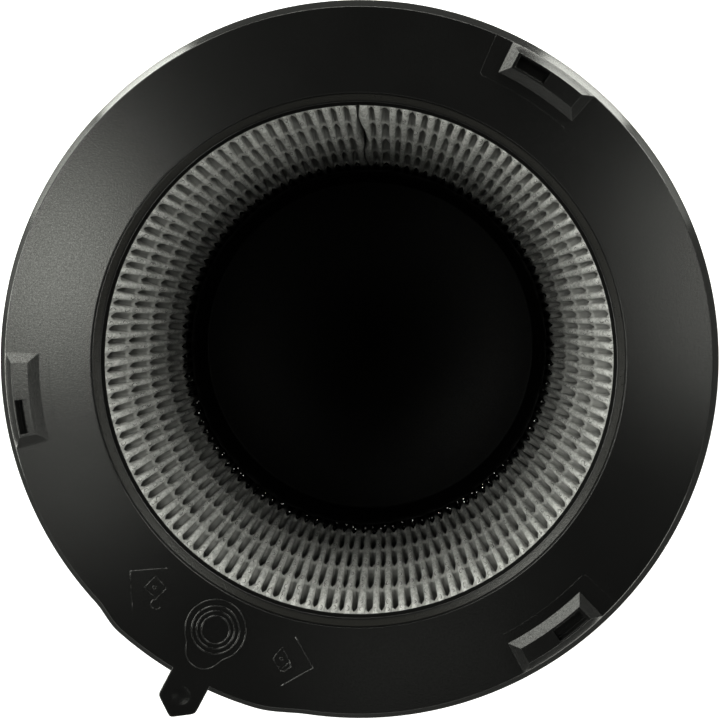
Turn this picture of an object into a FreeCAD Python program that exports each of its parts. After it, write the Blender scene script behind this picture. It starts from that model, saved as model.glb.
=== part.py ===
# Cylindrical pleated air filter for an air purifier, seen from its open end
import FreeCAD, Part
import math
import os
from FreeCAD import Vector

# Frame: +Z points out of the open end, the axis is Z, and Z = 0 is the flat base. All sizes are in mm.
# Angles are in degrees, counter-clockwise seen from the open end, with 0 on +X.

# Overall
bore_depth = 147.0            # from the face of the top frame down to the floor of the cap
cap_floor_thickness = 3.0
face_height = bore_depth + cap_floor_thickness

# Pleated pack
pleat_count = 117
pack_bore_radius = 87.0       # to the pleat tips that face the bore
pleat_depth = 28.0            # from the tips to the folds that face out
sheet_thickness = 0.6
bore_tip_width = 2.6
outer_fold_width = 2.9
seam_angle = 90.3             # where the two ends of the folded sheet meet

# Glue between the folds
bead_pitch = 25.4             # usual spacing of glue lines on pleated paper
bead_height = 4.8
bead_reach = 6.0              # how far a bead runs in between two walls
first_bead_depth = 30.5       # centre of the first full row below the face
bore_row_count = 4
outer_row_count = 3
end_bead_height = 4.8         # short row against the top frame
seam_glue_set_back = 4.0      # the glue of the seam stops this far behind the pleat tips

# Top frame
rim_overhang = 10.0           # from the pack out to the widest part, where the sloping rim meets the skirt
rim_slope_width = 5.5
rim_slope_drop = 8.0
skirt_drop = 16.0             # bottom of the skirt below the face
skirt_draft = 0.5
plate_thickness = 2.5
skirt_wall = 2.0
lip_overlap = 0.9             # the lip stays this far behind the pleat tips
lip_slope_width = 2.7
lip_slope_drop = 1.75
lip_step = 0.45               # small step between the face and the sloping lip
seat_wall = 1.6               # wall under the plate that holds the pack in place
seat_wall_drop = 12.0
seat_clearance = 0.6          # between the pack and each wall around it
frame_rib_count = 18
frame_rib_thickness = 1.4
frame_rib_drop = 10.0

# Wider part of the rim around the pull tab
bulge_height = 1.8
bulge_start = 228.5
bulge_end = 253.0
bulge_lead_in = 6.0
bulge_lead_out = 9.0

# Pull tab
tab_angle = 242.1
tab_width = 14.2
tab_reach = 11.8              # from the rim to the tip
tab_point_length = 5.0        # from the end of the straight sides to the tip
tab_root_length = 8.0         # how far the tab runs into the rim
tab_thickness = 3.0
tab_corner_radius = 1.6
dimple_radius = 3.1
dimple_floor_radius = 1.4
dimple_depth = 0.9
dimple_to_tip = 8.6

# Three lock blocks, each with a slot for a hook of the machine
block_angles = (56.2, 186.6, 305.7)
block_span = 15.8             # degrees along the rim, at the face
block_width = 11.3            # from its inner foot to the edge of the face
block_height = 3.0
block_inner_slope = 2.4
block_outer_slope = 3.3
block_end_slope = 1.65        # degrees
slot_width = 4.4
slot_to_edge = 3.8            # from the slot to the edge of the face
slot_start = 0.3              # degrees from the middle of the block
slot_span = 5.7               # degrees
slot_depth = 4.4
undercut_span = 4.6           # degrees that the pocket runs on under the block
undercut_height = 2.6

# Glue of the two ends
top_glue_thickness = 1.0
bottom_glue_thickness = 3.0

# Closed cap
collar_height = 23.0          # above the cap's floor
collar_wall = 1.5
collar_clearance = 0.3        # between the collar and the pleat tips
cap_wall = 1.8
cap_wall_height = 26.0        # above the base
cap_edge_chamfer = 1.2
foot_ring_width = 30.0
foot_recess = 0.8
seal_height = 2.2             # fillet of glue on the collar's rim
seal_gap = 0.05               # between that bead and the pleat tips

# Heights and radii that follow
pleat_pitch = 360.0 / pleat_count
plate_underside = face_height - plate_thickness
pack_top = plate_underside - top_glue_thickness
pack_bottom = cap_floor_thickness + bottom_glue_thickness
pack_length = pack_top - pack_bottom
pack_outer_radius = pack_bore_radius + pleat_depth
frame_radius = pack_outer_radius + rim_overhang
face_outer_radius = frame_radius - rim_slope_width
tab_root_radius = frame_radius - tab_root_length
tab_tip_radius = frame_radius + tab_reach
tab_shoulder_radius = tab_tip_radius - tab_point_length
dimple_from_axis = tab_tip_radius - dimple_to_tip
block_inner_radius = face_outer_radius - block_width
slot_outer_radius = face_outer_radius - slot_to_edge
slot_inner_radius = slot_outer_radius - slot_width
lip_radius = pack_bore_radius + lip_overlap
face_inner_radius = lip_radius + lip_slope_width
seat_radius = pack_outer_radius + seat_clearance
collar_outer_radius = pack_bore_radius - collar_clearance
collar_inner_radius = collar_outer_radius - collar_wall
collar_top = cap_floor_thickness + collar_height
cap_outer_radius = seat_radius + cap_wall
frame_wall_radius = frame_radius - skirt_wall
hollow_top_radius = frame_wall_radius - (rim_slope_drop - plate_thickness) * rim_slope_width / rim_slope_drop
margin = 5.0                  # how far a cutter runs past what it cuts
sunk = 0.3                    # how far a rib runs into the wall that carries it


def polar(radius, angle, height=0.0):
    """Point at a radius and an angle in degrees."""
    turn = math.radians(angle)
    return Vector(radius * math.cos(turn), radius * math.sin(turn), height)


def flat_width(radius, width):
    """Angle in degrees of a chord of this width at this radius."""
    return math.degrees(2.0 * math.asin(width / (2.0 * radius)))


def lathe(profile):
    """Solid turned about Z from a closed outline of (radius, height) points."""
    points = [Vector(radius, 0.0, height) for radius, height in profile]
    face = Part.Face(Part.makePolygon(points + points[:1]))
    return face.revolve(Vector(0, 0, 0), Vector(0, 0, 1), 360.0)


def ring(inner_radius, outer_radius, bottom, top):
    """Plain ring with a square section."""
    return lathe([(inner_radius, bottom), (outer_radius, bottom), (outer_radius, top), (inner_radius, top)])


def arc(radius, start, end, height):
    """Arc about Z from one angle to another."""
    middle = (start + end) / 2.0
    return Part.Arc(polar(radius, start, height), polar(radius, middle, height), polar(radius, end, height)).toShape()


def sector_wire(inner_radius, outer_radius, start, end, height):
    """Outline of a piece of a flat ring."""
    outer = arc(outer_radius, start, end, height)
    side_out = Part.makeLine(polar(outer_radius, end, height), polar(inner_radius, end, height))
    inner = arc(inner_radius, end, start, height)
    side_in = Part.makeLine(polar(inner_radius, start, height), polar(outer_radius, start, height))
    return Part.Wire([outer, side_out, inner, side_in])


def sector(inner_radius, outer_radius, start, end, bottom, top):
    """Piece of a ring between two angles."""
    face = Part.Face(sector_wire(inner_radius, outer_radius, start, end, bottom))
    return face.extrude(Vector(0, 0, top - bottom))


def turned_copies(shape, angles):
    """The shape turned about Z to each angle."""
    copies = []
    for angle in angles:
        copy = shape.copy()
        copy.rotate(Vector(0, 0, 0), Vector(0, 0, 1), angle)
        copies.append(copy)
    return copies


def bulge_edge(radius, start, end, height):
    """Smooth edge that climbs, or falls, between the round rim and the wider part."""
    steps = 6
    points = []
    for step in range(steps + 1):
        share = step / steps
        rise = (1.0 - math.cos(math.pi * share)) / 2.0
        if start > end:
            rise = 1.0 - rise
        low = min(start, end)
        high = max(start, end)
        points.append(polar(radius + bulge_height * rise, low + (high - low) * share, height))
    curve = Part.BSplineCurve()
    curve.interpolate(points)
    return curve.toShape()


def rim_outline(radius, height):
    """Outline of the frame at one height: a circle with the wider part at the tab."""
    foot_in = bulge_start - bulge_lead_in
    foot_out = bulge_end + bulge_lead_out
    climb = bulge_edge(radius, foot_in, bulge_start, height)
    crest = arc(radius + bulge_height, bulge_start, bulge_end, height)
    fall = bulge_edge(radius, foot_out, bulge_end, height)
    around = arc(radius, foot_out, foot_in + 360.0, height)
    return Part.Wire([climb, crest, fall, around])


def frame_body():
    """Sloping rim and skirt, hollow below, with the bore and its lip."""
    levels = [
        rim_outline(frame_radius - skirt_draft, face_height - skirt_drop),
        rim_outline(frame_radius, face_height - rim_slope_drop),
        rim_outline(face_outer_radius, face_height),
    ]
    body = Part.makeLoft(levels, True, True)
    hollow = lathe([
        (0.0, face_height - skirt_drop - margin),
        (frame_wall_radius - skirt_draft, face_height - skirt_drop - margin),
        (frame_wall_radius - skirt_draft, face_height - skirt_drop),
        (frame_wall_radius, face_height - rim_slope_drop),
        (hollow_top_radius, plate_underside),
        (0.0, plate_underside),
    ])
    bore = lathe([
        (0.0, plate_underside - margin),
        (lip_radius, plate_underside - margin),
        (lip_radius, face_height - lip_step - lip_slope_drop),
        (face_inner_radius, face_height - lip_step),
        (face_inner_radius, face_height + margin),
        (0.0, face_height + margin),
    ])
    return body.cut(hollow).cut(bore)


def frame_ribs():
    """Wall that centres the pack, and the short ribs from it to the skirt."""
    wall_outer = seat_radius + seat_wall
    wall = ring(seat_radius, wall_outer, face_height - seat_wall_drop, plate_underside)
    outline = [
        Vector(wall_outer - sunk, 0.0, face_height - frame_rib_drop),
        Vector(frame_wall_radius + sunk, 0.0, face_height - frame_rib_drop),
        Vector(frame_wall_radius + sunk, 0.0, face_height - rim_slope_drop),
        Vector(hollow_top_radius + sunk, 0.0, plate_underside),
        Vector(wall_outer - sunk, 0.0, plate_underside),
    ]
    rib = Part.Face(Part.makePolygon(outline + outline[:1])).extrude(Vector(0, frame_rib_thickness, 0))
    rib.translate(Vector(0, -frame_rib_thickness / 2.0, 0))
    turns = [360.0 * index / frame_rib_count for index in range(frame_rib_count)]
    return [wall] + turned_copies(rib, turns)


def lock_block(angle):
    """Block on the face, sloping on all four sides and curved with the rim."""
    start = angle - block_span / 2.0
    end = angle + block_span / 2.0
    base = sector_wire(block_inner_radius, face_outer_radius, start, end, face_height)
    top = sector_wire(
        block_inner_radius + block_inner_slope,
        face_outer_radius - block_outer_slope,
        start + block_end_slope,
        end - block_end_slope,
        face_height + block_height,
    )
    return Part.makeLoft([base, top], True, True)


def lock_slot(angle):
    """Slot down through the block, and the pocket that runs on under it."""
    floor = face_height + block_height - slot_depth
    start = angle + slot_start
    end = start + slot_span
    slot = sector(slot_inner_radius, slot_outer_radius, start, end, floor, face_height + block_height + margin)
    undercut = sector(slot_inner_radius, slot_outer_radius, start - undercut_span, end, floor, floor + undercut_height)
    return slot.fuse(undercut)


def pull_tab():
    """Flat tab with a blunt point and a shallow dimple for the finger."""
    half = tab_width / 2.0
    outline = [
        Vector(tab_root_radius, -half, 0.0),
        Vector(tab_shoulder_radius, -half, 0.0),
        Vector(tab_tip_radius, 0.0, 0.0),
        Vector(tab_shoulder_radius, half, 0.0),
        Vector(tab_root_radius, half, 0.0),
    ]
    plate = Part.Face(Part.makePolygon(outline + outline[:1])).extrude(Vector(0, 0, tab_thickness))
    corners = []
    for edge in plate.Edges:
        middle = edge.CenterOfMass
        upright = abs(middle.z - tab_thickness / 2.0) < 0.01
        if upright and middle.x > tab_root_radius + margin:
            corners.append(edge)
    plate = plate.makeFillet(tab_corner_radius, corners)
    dimple = Part.makeCone(dimple_floor_radius, dimple_radius, dimple_depth)
    dimple.translate(Vector(dimple_from_axis, 0.0, tab_thickness - dimple_depth))
    tab = plate.cut(dimple)
    tab.translate(Vector(0, 0, face_height - tab_thickness))
    tab.rotate(Vector(0, 0, 0), Vector(0, 0, 1), tab_angle)
    return tab


def make_top_frame():
    """Moulded top frame in one piece."""
    added = frame_ribs()
    added.append(pull_tab())
    for angle in block_angles:
        added.append(lock_block(angle))
    frame = frame_body().fuse(added)
    frame = frame.cut([lock_slot(angle) for angle in block_angles])
    return frame.removeSplitter()


def tip_angle(index):
    """Middle of a pleat tip, counted from the seam."""
    return seam_angle + (index + 0.5) * pleat_pitch


def make_pleat_pack():
    """One folded sheet: walls between tips at the bore and folds at the outside, open at the seam."""
    tip = flat_width(pack_bore_radius, bore_tip_width) / 2.0
    tip_inside_radius = pack_bore_radius + sheet_thickness
    tip_inside = flat_width(tip_inside_radius, bore_tip_width - 2.0 * sheet_thickness) / 2.0
    fold = flat_width(pack_outer_radius, outer_fold_width) / 2.0
    fold_inside_radius = pack_outer_radius - sheet_thickness
    fold_inside = flat_width(fold_inside_radius, outer_fold_width - 2.0 * sheet_thickness) / 2.0
    bore_side = []
    outer_side = []
    for index in range(pleat_count):
        middle = tip_angle(index)
        before = middle - pleat_pitch / 2.0
        after = middle + pleat_pitch / 2.0
        bore_side.append(polar(fold_inside_radius, before + fold_inside))
        bore_side.append(polar(pack_bore_radius, middle - tip))
        bore_side.append(polar(pack_bore_radius, middle + tip))
        bore_side.append(polar(fold_inside_radius, after - fold_inside))
        outer_side.append(polar(pack_outer_radius, before + fold))
        outer_side.append(polar(tip_inside_radius, middle - tip_inside))
        outer_side.append(polar(tip_inside_radius, middle + tip_inside))
        outer_side.append(polar(pack_outer_radius, after - fold))
    outline = bore_side + outer_side[::-1]
    sheet = Part.Face(Part.makePolygon(outline + outline[:1])).extrude(Vector(0, 0, pack_length))
    sheet.translate(Vector(0, 0, pack_bottom))
    return sheet


def wall_point(start, end, radius):
    """Point of the straight wall from start to end that lies at a radius."""
    low = 0.0
    high = 1.0
    for _ in range(50):
        share = (low + high) / 2.0
        if (start + (end - start) * share).Length < radius:
            low = share
        else:
            high = share
    return start + (end - start) * low


def bead(front, back, height):
    """Glue bead between two walls that mirror each other in Y = 0.

    Its front is an upright rectangle between the walls and its back is a level edge.
    """
    up = Vector(0, 0, height / 2.0)
    front_mirror = Vector(front.x, -front.y, 0.0)
    back_mirror = Vector(back.x, -back.y, 0.0)
    left = [front - up, front + up, back]
    right = [front_mirror - up, front_mirror + up, back_mirror]
    faces = [left, right]
    for index in range(3):
        following = (index + 1) % 3
        faces.append([left[index], left[following], right[following], right[index]])
    shell = Part.makeShell([Part.Face(Part.makePolygon(face + face[:1])) for face in faces])
    solid = Part.makeSolid(shell)
    if solid.Volume < 0:
        solid.reverse()
    return solid


def bore_bead(height):
    """Bead in a channel that opens to the bore, with its front level with the tips."""
    tip = flat_width(pack_bore_radius, bore_tip_width) / 2.0
    fold_inside_radius = pack_outer_radius - sheet_thickness
    fold_inside = flat_width(fold_inside_radius, outer_fold_width - 2.0 * sheet_thickness) / 2.0
    mouth = polar(pack_bore_radius, pleat_pitch / 2.0 - tip)
    deep = polar(fold_inside_radius, fold_inside)
    return bead(mouth, wall_point(mouth, deep, pack_bore_radius + bead_reach), height)


def outer_bead(height):
    """Bead in a channel that opens to the outside, with its front level with the folds."""
    fold = flat_width(pack_outer_radius, outer_fold_width) / 2.0
    tip_inside_radius = pack_bore_radius + sheet_thickness
    tip_inside = flat_width(tip_inside_radius, bore_tip_width - 2.0 * sheet_thickness) / 2.0
    mouth = polar(pack_outer_radius, pleat_pitch / 2.0 - fold)
    deep = polar(tip_inside_radius, tip_inside)
    return bead(mouth, wall_point(deep, mouth, pack_outer_radius - bead_reach), height)


def bead_row(single, angles, height):
    """One row of like beads around the pack."""
    row = Part.makeCompound(turned_copies(single, angles))
    row.translate(Vector(0, 0, height))
    return row


def make_bead_rows():
    """Rows of beads on the bore side, and between them the rows on the outside."""
    channels = [tip_angle(index) + pleat_pitch / 2.0 for index in range(pleat_count - 1)]
    pleats = [tip_angle(index) for index in range(pleat_count)]
    rows = {"bore_beads_1": bead_row(bore_bead(end_bead_height), channels, pack_top - end_bead_height / 2.0)}
    for index in range(bore_row_count):
        depth = first_bead_depth + index * bead_pitch
        rows["bore_beads_%d" % (index + 2)] = bead_row(bore_bead(bead_height), channels, face_height - depth)
    for index in range(outer_row_count):
        depth = first_bead_depth + (index + 0.5) * bead_pitch
        rows["outer_beads_%d" % (index + 1)] = bead_row(outer_bead(bead_height), pleats, face_height - depth)
    return rows


def make_seam_glue():
    """Strip of glue that joins the two ends of the folded sheet, behind the pleat tips."""
    tip = flat_width(pack_bore_radius, bore_tip_width) / 2.0
    fold_inside_radius = pack_outer_radius - sheet_thickness
    fold_inside = flat_width(fold_inside_radius, outer_fold_width - 2.0 * sheet_thickness) / 2.0
    mouth = polar(pack_bore_radius, pleat_pitch / 2.0 - tip)
    deep = polar(fold_inside_radius, fold_inside)
    near = wall_point(mouth, deep, pack_bore_radius + seam_glue_set_back)
    outline = [near, deep, Vector(deep.x, -deep.y, 0.0), Vector(near.x, -near.y, 0.0)]
    strip = Part.Face(Part.makePolygon(outline + outline[:1])).extrude(Vector(0, 0, pack_length))
    strip.translate(Vector(0, 0, pack_bottom))
    strip.rotate(Vector(0, 0, 0), Vector(0, 0, 1), seam_angle)
    return strip


def make_collar_seal():
    """Fillet of glue between the collar's rim and the pleat tips."""
    return lathe([
        (collar_inner_radius, collar_top),
        (pack_bore_radius - seal_gap, collar_top),
        (pack_bore_radius - seal_gap, collar_top + seal_height),
    ])


def make_bottom_cap():
    """Closed cap: floor, collar inside the pack and wall around it, on a shallow foot ring."""
    return lathe([
        (0.0, foot_recess),
        (cap_outer_radius - foot_ring_width, foot_recess),
        (cap_outer_radius - foot_ring_width, 0.0),
        (cap_outer_radius - cap_edge_chamfer, 0.0),
        (cap_outer_radius, cap_edge_chamfer),
        (cap_outer_radius, cap_wall_height),
        (seat_radius, cap_wall_height),
        (seat_radius, cap_floor_thickness),
        (collar_outer_radius, cap_floor_thickness),
        (collar_outer_radius, collar_top),
        (collar_inner_radius, collar_top),
        (collar_inner_radius, cap_floor_thickness),
        (0.0, cap_floor_thickness),
    ])


def make_parts():
    """Every piece of the filter, by the name of its node."""
    parts = {
        "top_frame": make_top_frame(),
        "top_glue": ring(pack_bore_radius, seat_radius, pack_top, plate_underside),
        "pleat_pack": make_pleat_pack(),
        "seam_glue": make_seam_glue(),
        "bottom_glue": ring(collar_outer_radius, seat_radius, cap_floor_thickness, pack_bottom),
        "collar_seal": make_collar_seal(),
        "bottom_cap": make_bottom_cap(),
    }
    parts.update(make_bead_rows())
    return parts


def main():
    os.makedirs("parts", exist_ok=True)
    for name, shape in make_parts().items():
        shape.exportStep("parts/%s.step" % name)
        box = shape.BoundBox
        print("%-14s solids %4d  volume %9.1f  x %7.2f %7.2f  y %7.2f %7.2f  z %7.2f %7.2f" % (
            name, len(shape.Solids), shape.Volume,
            box.XMin, box.XMax, box.YMin, box.YMax, box.ZMin, box.ZMax))


main()
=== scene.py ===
# %% [markdown]
# # A round purifier filter, looked into from its open end
# The filter is a black moulded ring, a pale sheet of paper folded more than a hundred times, dots of
# glue that keep the folds apart, and a closed black cap at the far end. The construction is already
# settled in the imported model, in metres, with +Z out of the open end. This lesson dresses it: each
# piece is made at its real place and size, gets its own finish, and takes the place of its plain solid.

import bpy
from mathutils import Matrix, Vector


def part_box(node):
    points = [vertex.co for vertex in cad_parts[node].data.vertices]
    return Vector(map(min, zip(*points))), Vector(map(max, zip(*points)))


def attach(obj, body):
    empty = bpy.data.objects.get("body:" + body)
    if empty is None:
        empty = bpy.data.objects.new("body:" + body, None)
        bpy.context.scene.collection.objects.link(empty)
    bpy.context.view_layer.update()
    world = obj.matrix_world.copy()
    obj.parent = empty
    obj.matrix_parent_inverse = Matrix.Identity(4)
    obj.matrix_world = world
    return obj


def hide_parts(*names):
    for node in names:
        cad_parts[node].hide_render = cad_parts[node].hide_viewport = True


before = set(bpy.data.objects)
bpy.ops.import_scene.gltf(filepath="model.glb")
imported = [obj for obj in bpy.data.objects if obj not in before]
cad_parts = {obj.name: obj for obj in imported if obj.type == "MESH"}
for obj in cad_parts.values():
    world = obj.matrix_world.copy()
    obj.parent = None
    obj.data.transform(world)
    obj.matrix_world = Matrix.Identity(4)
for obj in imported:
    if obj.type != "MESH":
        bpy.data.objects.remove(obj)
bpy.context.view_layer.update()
print("packed nodes:", len(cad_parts))

# %% [markdown]
# ## Heights and radii
# The solids know where everything is, so the sizes that must agree with them are read from their
# boxes: the face of the ring, its widest edge, the pleats, the collar and the cap. Only sizes that a
# box can't tell, such as the width of a slot, are written here as plain millimetres.

# %% Read the main sizes
import bpy
import math
import numpy as np
from mathutils import Vector

MM = 0.001


def reach(node):
    """Outer radius, lowest and highest point of a solid, in millimetres."""
    low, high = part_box(node)
    return high[0] / MM, low[2] / MM, high[2] / MM


pack_radius, pack_low, pack_high = reach("pleat_pack")
cap_radius, _, cap_high = reach("bottom_cap")
glue_radius, glue_low, glue_high = reach("bottom_glue")
_, collar_top, seal_high = reach("collar_seal")
_, end_bead_low, _ = reach("bore_beads_1")
_, skirt_low, frame_top = reach("top_frame")
block_height = 3.0
face = frame_top - block_height
rim_radius = 125.0
tip_radius = 87.0
print("face at %.1f mm, pleats from %.1f to %.1f mm" % (face, pack_low, pack_high))

# %% [markdown]
# ## Small helpers
# Nearly every piece here is a grid of points wrapped round the axis, so one helper turns a grid into a
# mesh. It can close the grid in either direction. Working with numpy arrays keeps the script quick:
# the paper alone has tens of thousands of points. Polar coordinates suit a round object, with angles
# counter-clockwise as the camera sees them.

# %% Make meshes from grids


def polar(radius, angle, height):
    """Points from radii and angles in degrees, in millimetres."""
    turn = np.radians(angle)
    radius, turn, height = np.broadcast_arrays(radius, turn, height)
    return np.stack([radius * np.cos(turn), radius * np.sin(turn), height], axis=-1)


def grid_faces(rows, columns, wrap_rows=False, wrap_columns=False, first=0):
    """Quads of a grid of points stored row by row."""
    row = np.arange(rows if wrap_rows else rows - 1)
    column = np.arange(columns if wrap_columns else columns - 1)
    row, column = np.meshgrid(row, column, indexing="ij")
    next_row = (row + 1) % rows
    next_column = (column + 1) % columns
    quads = [row * columns + column, row * columns + next_column,
             next_row * columns + next_column, next_row * columns + column]
    return np.stack(quads, axis=-1).reshape(-1, 4) + first


def make_piece(name, points, faces, material, smooth=True):
    """Mesh object from points in millimetres and faces of any size."""
    mesh = bpy.data.meshes.new(name)
    places = (np.asarray(points).reshape(-1, 3) * MM).tolist()
    mesh.from_pydata(places, [], [list(corners) for corners in faces])
    mesh.validate()
    mesh.polygons.foreach_set("use_smooth", [smooth] * len(mesh.polygons))
    mesh.materials.append(material)
    piece = bpy.data.objects.new(name, mesh)
    bpy.context.scene.collection.objects.link(piece)
    return piece


def point_outwards(piece):
    """Turns every face the right way out."""
    import bmesh
    work = bmesh.new()
    work.from_mesh(piece.data)
    bmesh.ops.remove_doubles(work, verts=work.verts, dist=1e-7)
    bmesh.ops.recalc_face_normals(work, faces=work.faces)
    work.to_mesh(piece.data)
    work.free()


def settle(piece, node):
    """The piece rides with the filter and stands for its solid."""
    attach(piece, "root")
    if node:
        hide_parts(*([node] if isinstance(node, str) else node))
    mesh = piece.data
    print("%-18s %6d points %6d faces" % (piece.name, len(mesh.vertices), len(mesh.polygons)))
    return piece


# %% [markdown]
# ## Finishes
# Black moulded plastic is never one black. The face of the ring has the fine spark texture of its
# mould, which breaks a lamp's reflection up into fine grain, and the lip at the bore is paler.
# The paper is a mat of fibres: pale, dull and a little uneven from fold to fold. Over the last
# centimetres it darkens, partly from glue soaking in and partly with painted shade deep in the bore,
# and then it turns black at once where its end has soaked up black glue. The glue there is nearly
# black too. Each finish is a few noise textures feeding the colour, the roughness and a bump, all
# measured in object space.

# %% Helpers for node trees


def new_material(name, roughness, specular=0.5):
    """A material with its shader, and the object coordinates that feed the textures."""
    material = bpy.data.materials.new(name)
    material.use_nodes = True
    tree = material.node_tree
    shader = tree.nodes["Principled BSDF"]
    shader.inputs["Roughness"].default_value = roughness
    shader.inputs["Specular IOR Level"].default_value = specular
    place = tree.nodes.new("ShaderNodeTexCoord")
    return material, tree, shader, place.outputs["Object"]


def noise(tree, vector, scale, detail=3.0, rough=0.5):
    """Noise texture whose scale is in features per metre."""
    node = tree.nodes.new("ShaderNodeTexNoise")
    node.inputs["Scale"].default_value = scale
    node.inputs["Detail"].default_value = detail
    node.inputs["Roughness"].default_value = rough
    tree.links.new(vector, node.inputs["Vector"])
    return node.outputs["Fac"]


def remap(tree, value, low, high, new_low, new_high):
    """Stretches a value from one range to another."""
    node = tree.nodes.new("ShaderNodeMapRange")
    sockets = ("From Min", "From Max", "To Min", "To Max")
    for socket, number in zip(sockets, (low, high, new_low, new_high)):
        node.inputs[socket].default_value = number
    tree.links.new(value, node.inputs["Value"])
    return node.outputs["Result"]


def blend_colours(tree, share, first, second):
    """Mixes two colours by a value from 0 to 1. Each is a triple or the colour of another node."""
    node = tree.nodes.new("ShaderNodeMix")
    node.data_type = "RGBA"
    for socket, colour in zip((node.inputs[6], node.inputs[7]), (first, second)):
        if isinstance(colour, tuple):
            socket.default_value = (*colour, 1.0)
        else:
            tree.links.new(colour, socket)
    tree.links.new(share, node.inputs[0])
    return node.outputs[2]


def set_colour(tree, shader, colour):
    """Feeds a colour to the shader."""
    tree.links.new(colour, shader.inputs["Base Color"])


def combine(tree, kind, first, second):
    """Arithmetic on two values, either of which may be a number."""
    node = tree.nodes.new("ShaderNodeMath")
    node.operation = kind
    for socket, value in zip(node.inputs, (first, second)):
        if isinstance(value, (int, float)):
            socket.default_value = value
        else:
            tree.links.new(value, socket)
    return node.outputs[0]


def add_bump(tree, shader, height, strength, distance):
    """Bump from a height value; the distance is in metres."""
    node = tree.nodes.new("ShaderNodeBump")
    node.inputs["Strength"].default_value = strength
    node.inputs["Distance"].default_value = distance
    tree.links.new(height, node.inputs["Height"])
    tree.links.new(node.outputs["Normal"], shader.inputs["Normal"])


# %% Moulded plastic, textured and smooth


def band_round_axis(tree, place, inner, outer):
    """One between two radii in metres, zero elsewhere, with a soft edge of a fifth of a millimetre."""
    flat = tree.nodes.new("ShaderNodeVectorMath")
    flat.operation = "MULTIPLY"
    flat.inputs[1].default_value = (1.0, 1.0, 0.0)
    tree.links.new(place, flat.inputs[0])
    distance = tree.nodes.new("ShaderNodeVectorMath")
    distance.operation = "LENGTH"
    tree.links.new(flat.outputs[0], distance.inputs[0])
    beyond = remap(tree, distance.outputs["Value"], inner, inner + 0.0002, 0.0, 1.0)
    within = remap(tree, distance.outputs["Value"], outer, outer + 0.0002, 1.0, 0.0)
    return combine(tree, "MULTIPLY", beyond, within)


def moulded_plastic(name, dark, light, roughness, grain_depth, grain_scale, specular=0.5, lip=None):
    """Black plastic: slow cloudiness in the colour, and a fine mould grain in bump and roughness.

    The lip round the bore is a little paler, so its colour can be given as well.
    """
    material, tree, shader, place = new_material(name, roughness, specular)
    cloud = noise(tree, place, 35.0, 2.0)
    colour = blend_colours(tree, remap(tree, cloud, 0.3, 0.7, 0.0, 1.0), dark, light)
    if lip is not None:
        colour = blend_colours(tree, band_round_axis(tree, place, 0.0884, 0.09025), colour, lip)
    set_colour(tree, shader, colour)
    grain = noise(tree, place, grain_scale, 1.0, 0.5)
    uneven = remap(tree, grain, 0.3, 0.7, roughness - 0.02, roughness + 0.02)
    tree.links.new(uneven, shader.inputs["Roughness"])
    shine = remap(tree, noise(tree, place, 1500.0, 1.0), 0.3, 0.7, specular * 0.8, specular * 1.2)
    tree.links.new(shine, shader.inputs["Specular IOR Level"])
    add_bump(tree, shader, grain, 0.35, grain_depth)
    return material


ring_black = (0.0055, 0.0055, 0.0056), (0.0075, 0.0075, 0.0076)
cap_black = (0.0016, 0.0016, 0.0016), (0.002, 0.002, 0.002)
lip_grey = (0.019, 0.0185, 0.017)
ring_plastic = moulded_plastic("ring_plastic", *ring_black, 0.24, 0.0001, 1900.0, 0.8, lip_grey)
mark_plastic = moulded_plastic("mark_plastic", *ring_black, 0.2, 0.000005, 1500.0, 0.8)
cap_plastic = moulded_plastic("cap_plastic", *cap_black, 0.5, 0.00004, 1100.0, 0.12)
print("plastics:", ring_plastic.name, mark_plastic.name, cap_plastic.name)

# %% Filter paper, pale glue and black glue


def product(tree, first, second):
    """Two values multiplied."""
    return combine(tree, "MULTIPLY", first, second)


def paper_tone(tree, place, mottle):
    """Slow change from fold to fold and fine mottle in one value, lower outside the bore as painted shade.
    """
    slow = product(tree, noise(tree, place, 160.0, 2.0), 0.3)
    tone = combine(tree, "ADD", slow, product(tree, mottle, 0.7))
    tone = remap(tree, tone, 0.38, 0.6, 0.0, 1.0)
    # Outside the bore the paper is darker: painted shade that keeps the outer folds from washing out under
    # the lamps.
    outside_painted_shade = band_round_axis(tree, place, 0.100, 0.2)
    return combine(tree, "SUBTRACT", tone, product(tree, outside_painted_shade, 0.5))


def dark_specks(tree, drawn):
    """How much of a dark fibre shows at a place: small dots in some cells of a cell texture."""
    cells = tree.nodes.new("ShaderNodeTexVoronoi")
    cells.inputs["Scale"].default_value = 420.0
    tree.links.new(drawn, cells.inputs["Vector"])
    near = remap(tree, cells.outputs["Distance"], 0.12, 0.22, 1.0, 0.0)
    picked = remap(tree, cells.outputs["Color"], 0.55, 0.6, 0.0, 1.0)
    return product(tree, product(tree, near, picked), 0.7)


def soak_and_shade_share(tree, place, drawn):
    """How dark the paper turns near the far end: black where glue has soaked in, and above that a
    darkening, partly glue and partly painted shade deep in the bore, that fades out up the bore.
    """
    parts = tree.nodes.new("ShaderNodeSeparateXYZ")
    tree.links.new(place, parts.inputs[0])
    height = parts.outputs[2]
    uneven = product(tree, combine(tree, "SUBTRACT", noise(tree, drawn, 240.0, 2.0), 0.5), 0.016)
    black = remap(tree, combine(tree, "ADD", height, uneven), 0.0385, 0.0425, 1.0, 0.0)
    # This gentle darkening above the black is partly glue soaking in and partly painted shade deep in the
    # bore.
    dim_soak_and_shade = remap(tree, height, 0.041, 0.096, 0.6, 0.0)
    return product(tree, combine(tree, "MAXIMUM", black, dim_soak_and_shade), band_round_axis(tree, place, 0.0, 0.098))


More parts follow.
